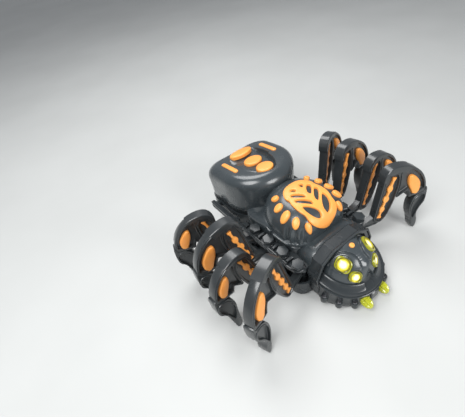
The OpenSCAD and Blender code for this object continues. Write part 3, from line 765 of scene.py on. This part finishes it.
# ================= dome =================
def dome_radius(t, g=0.0):
    """Distance from the dome's middle to its edge moved out by g: oval behind, nearly straight in front."""
    c, s = math.cos(t), math.sin(t)
    if s > 0:
        return oval_reach(c, s, DOME_W + g, DOME_REAR + g)
    return oval_reach(c, s, DOME_W + g, DOME_FRONT + g, DOME_SQUARE)


def dome_ring(angles, radius, z):
    """A level ring round the dome's middle, as far from it as radius(t)."""
    return [(DOME_C.x + radius(t) * math.cos(t), DOME_C.y + radius(t) * math.sin(t), z) for t in angles]


def crown(s):
    """Height of the dome's skin at share s of the way from its middle to its edge."""
    return DOME_Z + DOME_H * (1 - s ** DOME_CROWN) ** (1 / DOME_CROWN)


def dome_z(x, y):
    v = Vector((x, y)) - DOME_C
    return crown(min(1.0, v.length / dome_radius(math.atan2(v.y, v.x))))


def dome_normal(x, y):
    e = 0.2
    nx = -(dome_z(x + e, y) - dome_z(x - e, y)) / (2 * e)
    ny = -(dome_z(x, y + e) - dome_z(x, y - e)) / (2 * e)
    return Vector((nx, ny, 1)).normalized()


def on_dome(x, y, h):
    """A point h above the dome's skin over (x, y)."""
    return Vector((x, y, dome_z(x, y))) + dome_normal(x, y) * h


def fluted(p):
    """The point pushed inward where it is in one of the upright flutes low on the dome's front sides."""
    if p.z > FLUTE_TOP or p.z < DOME_Z - 1 or p.y > DOME_C.y - 1:
        return p
    v = Vector((p.x, p.y)) - DOME_C
    t = math.degrees(math.atan2(v.y, abs(v.x)))
    depth = FLUTE_DEPTH * sum(hump(t - at, FLUTE_HALF) for at in FLUTE_TURNS)
    w = v.normalized() * (v.length - depth * smooth_step(FLUTE_TOP - p.z, 0, 4))
    return Vector((DOME_C.x + w.x, DOME_C.y + w.y, p.z))


def flange(t):
    """How far the dome's lower lip stands out in direction t: none in front or at the two clip notches."""
    y = DOME_C.y + dome_radius(t) * math.sin(t)
    front = smooth_step(y, -24, -18)
    notch = smooth_step(abs(y + 4.5), 1.2, 1.7)
    return max(0.06, front * notch)


def dome_cover():
    angles = ring_angles(220)
    shares = (0.02, 0.15, 0.3, 0.45, 0.58, 0.7, 0.79, 0.86, 0.91, 0.945, 0.97, 0.987, 0.997, 1.0)
    rings = [dome_ring(angles, lambda t: dome_radius(t) * s, crown(s)) for s in shares]
    for g, z in ((0.0, -0.8), (0.3, -1.1), (1.5, -1.3), (1.8, -1.7), (1.8, -2.7), (1.5, -3.1), (0.1, -3.2)):
        rings.append(dome_ring(angles, lambda t: dome_radius(t, g * flange(t)), DOME_Z + z))
    bm = bmesh.new()
    loft(bm, rings, True, False)
    for v in bm.verts:
        v.co = fluted(v.co)
    shell = keep("dome_cover", bm, "shell", "chassis", ["dome_shell"], 38)
    thicken(shell, DOME_WALL)


def dome_dots():
    bm = bmesh.new()
    for s in (-1, 1):
        for x, y, length, width in DOTS:
            n = dome_normal(x, y)
            down = Vector((n.x, n.y, 0)).normalized()
            down = (down - n * down.dot(n)).normalized()
            across = n.cross(down)
            rings = []
            for g, h in ((0.0, -1.0), (0.0, 1.1), (0.25, 1.7), (0.7, 2.1), (1.4, 2.3)):
                ring = []
                for t in ring_angles(40):
                    q = down * (length - g) * math.cos(t) + across * (width - g) * math.sin(t)
                    p = on_dome(x + q.x, y + q.y, h)
                    ring.append((s * p.x, p.y, p.z))
                rings.append(ring)
            loft(bm, rings, True, True)
    keep("dome_dots", bm, "orange", "chassis", ["dome_spots"])


def leaf():
    """The leaf panel: a flat plate with cut-outs and rounded edges, which is then bent over the dome."""
    loops = [(rounded(LEAF_HALF + [(-x, y) for x, y in reversed(LEAF_HALF[1:-1])], 1), 1)]
    for cut in LEAF_CUTS:
        for s in (-1, 1):
            loops.append((rounded([(s * x, y) for x, y in cut]), -1))
    bm = bmesh.new()
    top, low = [], []
    for loop, way in loops:
        rings = []
        for d, h in ((0.0, -0.8), (0.0, 1.2), (0.2, 1.6), (0.55, 1.75)):
            rings.append([(x, y, h) for x, y in inset(loop, way * d)])
        rows = loft(bm, rings)
        top += closed_edges(bm, rows[-1])
        low += closed_edges(bm, rows[0])
    for edges in (top, low):
        bmesh.ops.triangle_fill(bm, use_beauty=True, edges=edges)
    # Cut into small squares, so that it bends smoothly.
    for axis, start, count in (((1, 0, 0), -30, 31), ((0, 1, 0), -52, 39)):
        for q in range(count):
            at = Vector(axis) * (start + 2.0 * q)
            geometry = bm.verts[:] + bm.edges[:] + bm.faces[:]
            bmesh.ops.bisect_plane(bm, geom=geometry, plane_co=at, plane_no=axis)
    for v in bm.verts:
        v.co = on_dome(v.co.x, v.co.y, v.co.z)
    keep("leaf", bm, "orange", "chassis", ["leaf_panel"], 35)


# ================= thorax, deck and knobs =================
def thorax_wall(bm):
    """Upright wall under the dome, with a groove all round."""
    angles = ring_angles(160)
    steps = ((-2.0, 28.0), (-0.6, 28.0), (-0.4, 28.4), (-0.4, 33.6), (-0.9, 33.9), (-0.9, 34.6), (-0.4, 34.9),
             (-0.4, 38.0), (-2.0, 38.2))
    loft(bm, [dome_ring(angles, lambda t: dome_radius(t, g), z) for g, z in steps])


def fairing(bm, side):
    """Smooth slope from the deck up to the dome and on to the pod: a row of sections from front to rear."""
    quarter = [math.pi / 2 * q / 14 for q in range(15)]
    rows = []
    for y in range(-12, 33):
        near = math.sqrt(max(FAIRING_NECK ** 2, FAIRING_IN ** 2 - (y - DOME_C.y) ** 2))
        far = FAIRING_OUT + 1.1 * smooth_step(y, -12, 4) - 3.0 * smooth_step(y, 24, 32)
        row = [(far - 0.3, FAIRING_FOOT), (far, FAIRING_FOOT + 1), (far, FAIRING_FOOT + 4)]
        for a in quarter:
            x = near + (far - near) * math.cos(a) ** 0.8
            row.append((x, FAIRING_TOP - FAIRING_RISE * (1 - math.sin(a) ** 0.9)))
        rows.append([(side * x, y, z) for x, z in row])
    sheet(bm, rows)


def cowl(bm):
    """Arched cover between the dome and the hood."""
    turns = [math.pi * j / 48 for j in range(49)]
    rows = []
    for y, w, top, low in ARCHES:
        rise = top - ARCH_MIDDLE
        curve = [(w * signed_power(math.cos(a), 0.62), ARCH_MIDDLE + rise * math.sin(a) ** 0.74)
                 for a in turns]
        post = (low + ARCH_MIDDLE) / 2
        curve = [(w, low), (w, post)] + curve + [(-w, post), (-w, low)]
        rows.append([(x, y, z) for x, z in curve])
    sheet(bm, rows)


def thorax():
    bm = bmesh.new()
    thorax_wall(bm)
    for side in (1, -1):
        fairing(bm, side)
    cowl(bm)
    shell = keep("cowl", bm, "shell", "chassis", ["thorax_base"], 38)
    thicken(shell, COWL_WALL)


def deck(side, word):
    """Plate beside the dome, with its rail, ribs, blocks and the four hip knobs."""
    bm = bmesh.new()
    plan = [(22.5, -39.7), (28.2, -39.7), (30, -41), (36, -36), (37, -30), (37, 26), (31, 26), (26, 20),
            (22.5, 17)]
    steps = ((0.5, 25.6), (0, 26.0), (0, 27.5), (0.2, 27.85), (0.6, 28.0), (1.2, 28.0), (1.3, 27.7),
             (1.7, DECK_TOP))
    loft(bm, [[(x, y, z) for x, y in inset(plan, d)] for d, z in steps], True, True)
    rail = [(33, 22), (36.4, 22), (37, 22.6), (37, 24.2), (36.5, 24.4), (36.5, 25.2), (37, 25.4), (37, 27.0),
            (36.5, 27.6), (35.6, 27.6), (35.4, 27.1), (34.8, 27.1), (34.6, 27.6), (33.4, 27.6), (33, 27.2)]
    rail_ends = ((24, 0.6), (24.5, 0), (66, 0), (69, 0.5), (70, 1.4))
    loft(bm, [[(x, y, z) for x, z in inset(rail, d)] for y, d in rail_ends], True, True)
    for x0, x1, y0, y1, z1 in RIBS:
        block(bm, (x0, y0, DECK_TOP - 0.2), (x1, y1, z1))
    for y in (34, 62):
        block(bm, (31.0, y, 22.6), (33.5, y + 4, 27.0))
    for i, y in enumerate(HIP_Y):
        at = (KNOB_X, y, DECK_TOP)
        turned(bm, at, (0, 0, 1), [(4.9, 0), (4.9, 0.9), (4.6, 1.2), (4.2, 1.2)], 40)
        lean = (0.10 - 0.05 * i, -0.10, 1)
        turned(bm, at, lean, [(4.5, 0.2), (4.6, 0.5), (4.6, 5.0), (4.25, 5.4), (2.0, 5.5)], 6, 15 + 20 * i)
    if side < 0:
        flip(bm)
    keep(f"side_deck_{word}", bm, "dark", "chassis", [f"deck_{word}"], 28)


# ================= head =================
def hood():
    """Faceted band round the rear of the face, with a rim in front and four small blocks on it."""
    half = [(12.5, 41.5), (23, 35.5), (28, 24), (26.7, 15)]
    outline = [(-x, z) for x, z in reversed(half)] + half
    steps = ((1.0, -39.8), (0.3, -40.0), (0, -40.6), (0, -48.6), (-0.5, -49.0),
             (-0.8, -49.5), (-0.8, -50.3), (-0.4, -50.8), (0.5, -50.9), (0.9, -50.6), (1.1, -49.8),
             (3.4, -49.4), (3.8, -49.0), (4.0, -46.8))
    bm = bmesh.new()
    loft(bm, [[(x, y, z) for x, z in inset(outline, d)] for d, y in steps], True, True)
    for side in (-1, 1):
        for x, z, w, h in ((9.0, 39.9, 2.6, 1.7), (4.6, 40.3, 3.2, 1.5)):
            block(bm, (side * x - w / 2, -50.6, z - h / 2), (side * x + w / 2, -48.8, z + h / 2))
    keep("hood", bm, "dark", "chassis", ["head_hood"], 20)


def ray(az, el):
    """Unit direction from the middle of the face ball, in degrees: az is 0 straight ahead."""
    a, e = math.radians(az), math.radians(el)
    return Vector((math.sin(a) * math.cos(e), -math.cos(a) * math.cos(e), math.sin(e)))


def face_relief(az, el):
    """Height of the face's moulded detail over the ball."""
    way = ray(az, el)
    # A mouth that is sunk inside a thin lip, and a nose above it.
    mouth = 12.5 * (1 - ((el + 8) / 33) ** 2) - abs(az)
    h = -2.4 * smooth_step(mouth, 0.0, 2.0) + 0.5 * hump(mouth + 1.3, 1.3)
    h += 1.1 * math.exp(-(az / 13) ** 2 - ((el - 34) / 11) ** 2)
    # A raised brow over each eye, with a groove along its arc.
    brow = math.degrees(way.angle(ray(math.copysign(BROW[0], az), BROW[1])))
    if el > 30:
        raised = 0.7 * smooth_step(BROW_REACH - 1.1 - brow, 0.0, 2.0)
        h += smooth_step(el, 30, 38) * (raised - 0.9 * hump(brow - BROW_REACH, 1.8))
    # Faint ribs between the stud and the nose.
    if 46 < el < 70 and brow > BROW_REACH + 2:
        h -= 0.035 * (1 + math.cos(math.radians(el * 75))) * smooth_step(34 - abs(az), 0, 8)
    # A flat seat round each eye.
    for turn, lift, r in EYES:
        away = math.degrees(way.angle(ray(math.copysign(turn, az), lift)))
        reach = math.degrees((r * 1.2 + 0.5) / FACE_R)
        h -= 0.6 * smooth_step(reach + 0.8 - away, 0.0, 1.2)
    return h


def face():
    """The ball with its relief, and the stud on top."""
    rows = []
    low, high = FACE_LIFT
    for j in range(FACE_ROWS + 1):
        el = low + (high - low) * j / FACE_ROWS
        row = []
        for i in range(FACE_COLUMNS + 1):
            az = FACE_TURN * (2 * i / FACE_COLUMNS - 1)
            row.append(FACE_C + ray(az, el) * (FACE_R + face_relief(az, el)))
        rows.append(row)
    bm = bmesh.new()
    sheet(bm, rows)
    ball = keep("face", bm, "shell", "chassis", ["head_face"], 50)
    thicken(ball, FACE_WALL)

    bm = bmesh.new()
    turned(bm, FACE_C, ray(0, STUD_LIFT), [(1.9, 20.8), (1.9, 21.9), (1.7, 22.4), (1.2, 22.7), (0.5, 22.85)])
    keep("stud", bm, "orange", "chassis", ["brow_stud"])


def eye_shape(side):
    """Edge of an eye with a radius of 1: a rounded quad that leans, so that its outer side sits higher."""
    lean = math.radians(side * EYE_LEAN)
    shape = []
    for t in (math.radians(6 * q) for q in range(60)):
        u = 1.04 * signed_power(math.cos(t), 0.62)
        v = 0.90 * signed_power(math.sin(t), 0.62)
        v *= 1 + 0.14 * side * u * math.copysign(1, v)
        shape.append((u * math.cos(lean) - v * math.sin(lean), u * math.sin(lean) + v * math.cos(lean)))
    return shape


def eyes():
    """Each eye has a rounded rim, a groove inside it and a domed lens."""
    steps = ((1.08, -0.9), (1.1, 0.3), (1.07, 0.9), (0.98, 1.2), (0.86, 1.2), (0.80, 0.9), (0.78, 0.3),
             (0.74, 0.3), (0.70, 0.6), (0.58, 0.9), (0.40, 1.15), (0.2, 1.25), (0.05, 1.3))
    number = 0
    for side in (1, -1):
        for look, (turn, lift, r) in zip(("big_eye", "small_eye"), EYES):
            number += 1
            way = ray(side * turn, lift)
            x = Vector((0, 0, 1)).cross(way).normalized()
            y = way.cross(x)
            shape = [(x * u + y * v) * r * 1.1 for u, v in eye_shape(side)]
            bm = bmesh.new()
            loft(bm, [[FACE_C + way * (FACE_R + h) + p * f for p in shape] for f, h in steps], True, True)
            middle = FACE_C + way * (FACE_R + 1.0)
            keep(f"eye_{number}", bm, look, "chassis", ["eye_lenses"], 30, middle)


def jaw_outline(g):
    """Edge of the jaw seen from above, moved out by g: half an oval with a straight rear."""
    loop = oval((0, FACE_C.y), JAW_W + g, JAW_LONG + g, 180, 360, 60)
    rear = JAW_BACK - min(g, 0)
    return loop + [(JAW_W + g, rear), (-JAW_W - g, rear)]


def cross_screw(bm, at, r):
    """A cross-head screw seen from above."""
    c, w = r * 0.62, r * 0.2
    cross = [(w, w), (w, c), (-w, c), (-w, w), (-c, w), (-c, -w), (-w, -w), (-w, -c), (w, -c), (w, -w),
             (c, -w), (c, w)]
    head = arc((0, 0), r, 45, 395, 35)
    slot = resample(cross, 36)
    rings = [[(at[0] + u * f, at[1] + v * f, at[2] + h) for u, v in head]
             for f, h in ((1.0, -0.4), (1.0, 0.25), (0.9, 0.5), (0.8, 0.6))]
    rings += [[(at[0] + u, at[1] + v, at[2] + h) for u, v in slot] for h in (0.62, 0.1)]
    loft(bm, rings, True, True)


def jaw():
    """Lower jaw with a double rim that rises to the hood, its screw bosses, and the heads of the screws."""
    steps = ((-4.0, 2.6), (-0.4, 2.6), (0.4, 3.0), (0.7, 3.8), (0.6, 7.0), (0.4, 12.6), (0.6, 13.4),
             (1.2, 13.8), (1.3, 14.4), (0.9, 14.8), (0.1, 14.8), (-0.1, 15.2), (0.3, 15.7), (0.2, 16.2),
             (-0.4, 16.5), (-1.4, 16.6), (-2.6, 17.8), (-3.6, 19.6), (-4.0, 20.4), (-4.6, 20.7), (-6.2, 20.4))
    rings = []
    for g, z in steps:
        ring = []
        for x, y in jaw_outline(g):
            in_front = smooth_step(5.6 - abs(x), 0, 1.6) * smooth_step(-y, 55, 60)
            gap = 3.4 * in_front * smooth_step(z, 16.6, 17.6)
            rise = 5.5 * smooth_step(y, -76, -48) * smooth_step(z, 5, 16)
            inside_hood = 1.0 if y < FACE_C.y else min(1.0, JAW_NECK / abs(x))
            ring.append((x * inside_hood, y + gap, z + rise))
        rings.append(ring)
    bm, screws = bmesh.new(), bmesh.new()
    loft(bm, rings, True, False)
    boss = [(1.2, 0), (2.5, 1.4), (2.7, 5.4), (2.5, 6.1), (1.8, 6.2), (1.7, 5.6)]
    for s in (-1, 1):
        for t in map(math.radians, BOSS_TURNS):
            at = (s * (JAW_W + 1.3) * math.cos(t), FACE_C.y - (JAW_LONG + 1.3) * math.sin(t))
            turned(bm, (*at, 3.6), (0, 0, 1), boss)
            cross_screw(screws, (*at, 9.4), 1.6)
        block(bm, (min(s * 25.6, s * 27.5), -50.4, 6.5), (max(s * 25.6, s * 27.5), JAW_BACK, 16.2), 0.6)
        for y in (-34, 8):
            turned(screws, (s * 29, y, 1.2), (0, 0, 1), [(1.6, 0), (2.2, 0.3), (2.2, 0.8)])
    # Chin between the fangs.
    block(bm, (-4.2, -78.6, 4.0), (4.2, -75.0, 12.6), 0.8)
    block(bm, (-2.9, -75.4, 9.0), (2.9, -72.0, 15.4), 0.8)
    skin = keep("jaw", bm, "dark", "chassis", ["head_jaw"])
    thicken(skin, JAW_WALL)
    keep("screw_heads", screws, "screw", "chassis", ["screws"], 30)


def fangs():
    """Two fluted clear cones with collars, dipping forward."""
    dip = math.radians(FANG_DIP)
    profile = [(3.3, 0.4), (3.4, 5.0), (3.9, 5.3), (4.0, 6.0), (3.6, 6.2), (3.6, 6.7), (3.9, 6.9), (3.7, 7.8),
               (3.3, 8.0), (3.3, 8.4), (3.5, 8.6), (2.9, 10.0), (1.9, 11.3), (0.9, 12.0), (0.3, 12.1)]
    x, y, z = FANG_BASE
    bm = bmesh.new()
    for side in (-1, 1):
        turned(bm, (side * x, y, z), (0, -math.cos(dip), -math.sin(dip)), profile, 24, 15, 0.17)
    keep("fang_tips", bm, "fang", "chassis", ["fangs"], 24, FANG_MIDDLE)


# ================= carried-over CAD nodes =================
def finish_cad_nodes():
    """Every CAD node takes the material of its slot."""
    for part in frame["record"]["subparts"]:
        materials = frame["nodes"][part["node"]].data.materials
        materials.clear()
        materials.append(MAT[SLOT_LOOK[part["material_slot"]]])


# ================= stage =================
def floor():
    mesh = bpy.data.meshes.new("floor")
    bm = bmesh.new()
    corners = ((-1, -1), (1, -1), (1, 1), (-1, 1))
    bm.faces.new([bm.verts.new((FLOOR_HALF * x, FLOOR_HALF * y, 0)) for x, y in corners])
    bm.to_mesh(mesh)
    bm.free()
    plane = bpy.data.objects.new("floor", mesh)
    mat, tree, shader = new_material("pale_floor")
    tone = ramp(tree, noise(tree, 8.0), (0.50, 0.51, 0.50), (0.53, 0.54, 0.53))
    tree.links.new(tone, shader.inputs["Base Color"])
    shader.inputs["Roughness"].default_value = 0.55
    mesh.materials.append(mat)
    bpy.context.scene.collection.objects.link(plane)


def lighting():
    world = bpy.data.worlds.new("soft_world")
    world.use_nodes = True
    sky = world.node_tree.nodes["Background"]
    sky.inputs[0].default_value = SKY
    sky.inputs[1].default_value = SKY_STRENGTH
    bpy.context.scene.world = world
    for name, at, target, size, power in LIGHTS:
        data = bpy.data.lights.new(name, "AREA")
        data.shape = "DISK"
        data.size = size
        data.energy = power
        light = bpy.data.objects.new(name, data)
        light.location = at
        light.rotation_euler = (Vector(target) - Vector(at)).to_track_quat("-Z", "Y").to_euler()
        bpy.context.scene.collection.objects.link(light)


def camera():
    data = bpy.data.cameras.new("view")
    data.lens = CAMERA_LENS
    data.sensor_width = 36.0
    data.shift_x, data.shift_y = CAMERA_SHIFT
    data.clip_start = 0.01
    level = Vector((math.cos(CAMERA_HEADING), math.sin(CAMERA_HEADING), 0))
    ahead = level * math.cos(CAMERA_DIP) - Vector((0, 0, math.sin(CAMERA_DIP)))
    right = Vector((level.y, -level.x, 0))
    up = right.cross(ahead)
    c, s = math.cos(CAMERA_ROLL), math.sin(CAMERA_ROLL)
    turn = Matrix((right * c + up * s, up * c - right * s, -ahead)).transposed().to_4x4()
    cam = bpy.data.objects.new("view", data)
    cam.matrix_world = Matrix.Translation(CAMERA_PLACE) @ turn
    bpy.context.scene.collection.objects.link(cam)
    bpy.context.scene.camera = cam


camera()
finish_cad_nodes()
legs()
pod_roof()
pod_trim()
dome_cover()
dome_dots()
leaf()
thorax()
deck(1, "left")
deck(-1, "right")
hood()
face()
eyes()
jaw()
fangs()
floor()
lighting()
bpy.context.scene.view_settings.view_transform = "Standard"
